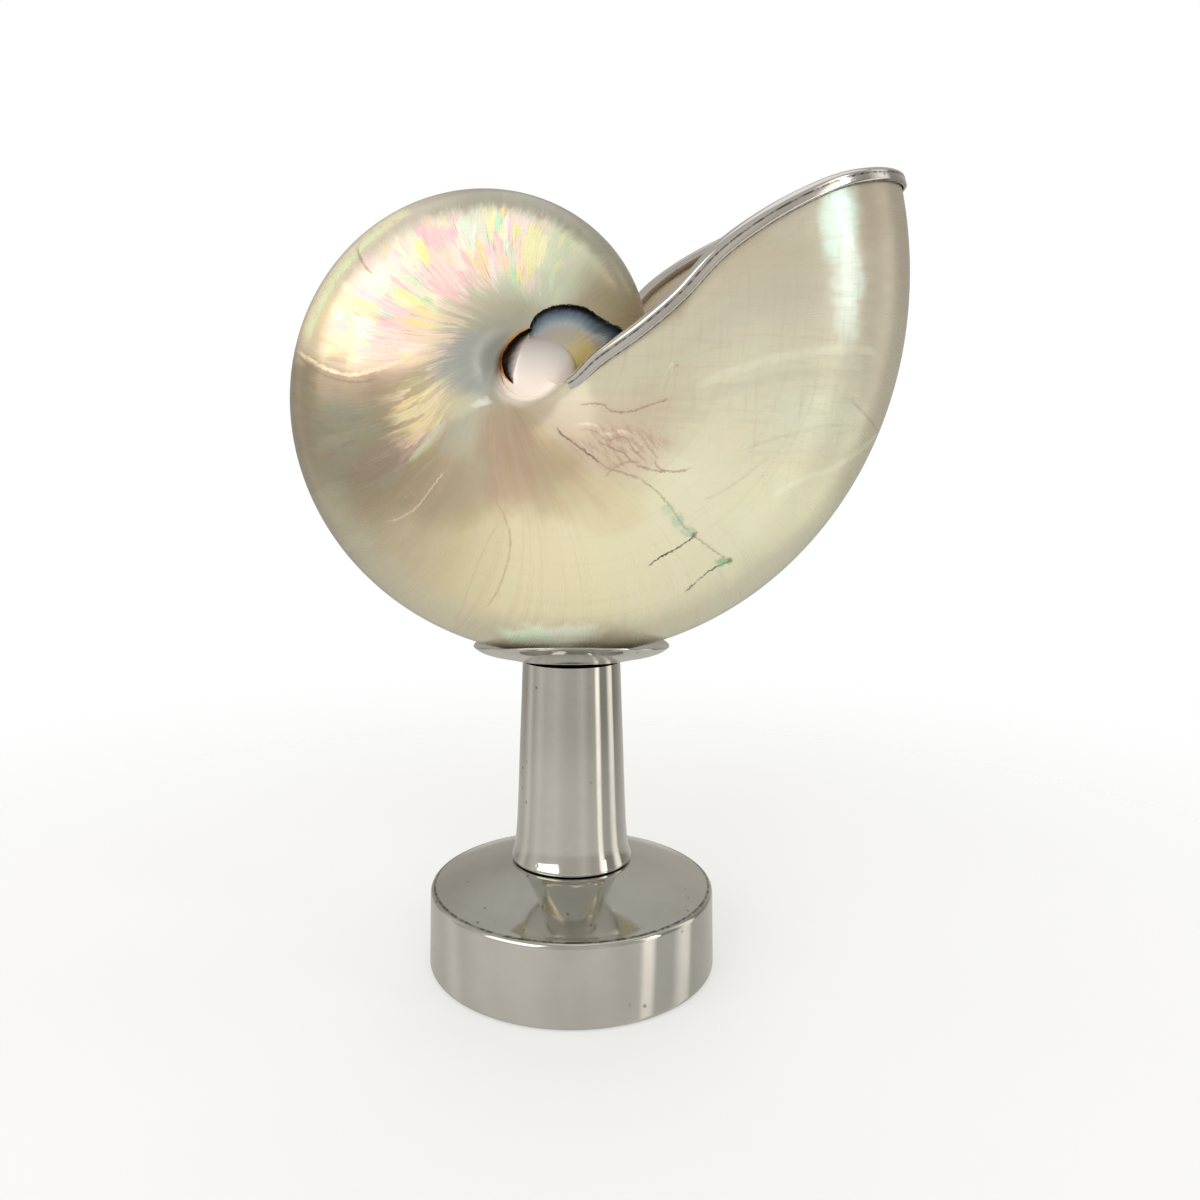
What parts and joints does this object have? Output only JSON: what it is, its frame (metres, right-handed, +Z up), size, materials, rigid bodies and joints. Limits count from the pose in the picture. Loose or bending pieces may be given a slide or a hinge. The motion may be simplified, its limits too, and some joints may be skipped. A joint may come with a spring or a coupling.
{
  "type": "nautilus shell on stand",
  "caption": "Whole pearl-polished nautilus shell with a metal-bound aperture, cradled in a shallow dish on a tapered round column and a thick domed base.",
  "frame": {"origin": "centre of the flat underside of the base, on the axis of the column", "axes": "+Z up along the column; +X towards the aperture's outer lip; -Y towards the flank that leans forward"},
  "size_m": [0.1455, 0.0826, 0.1912],
  "materials": {
    "nacre": "mother-of-pearl, polished, iridescent",
    "binding_metal": "silver-coloured, polished",
    "stand_metal": "cast and turned, polished, with fine pits"
  },
  "bodies": {
    "root": {"shell": "nacre", "rim_binding": "binding_metal", "dish": "stand_metal", "column": "stand_metal", "base": "stand_metal"}
  },
  "joints": []
}
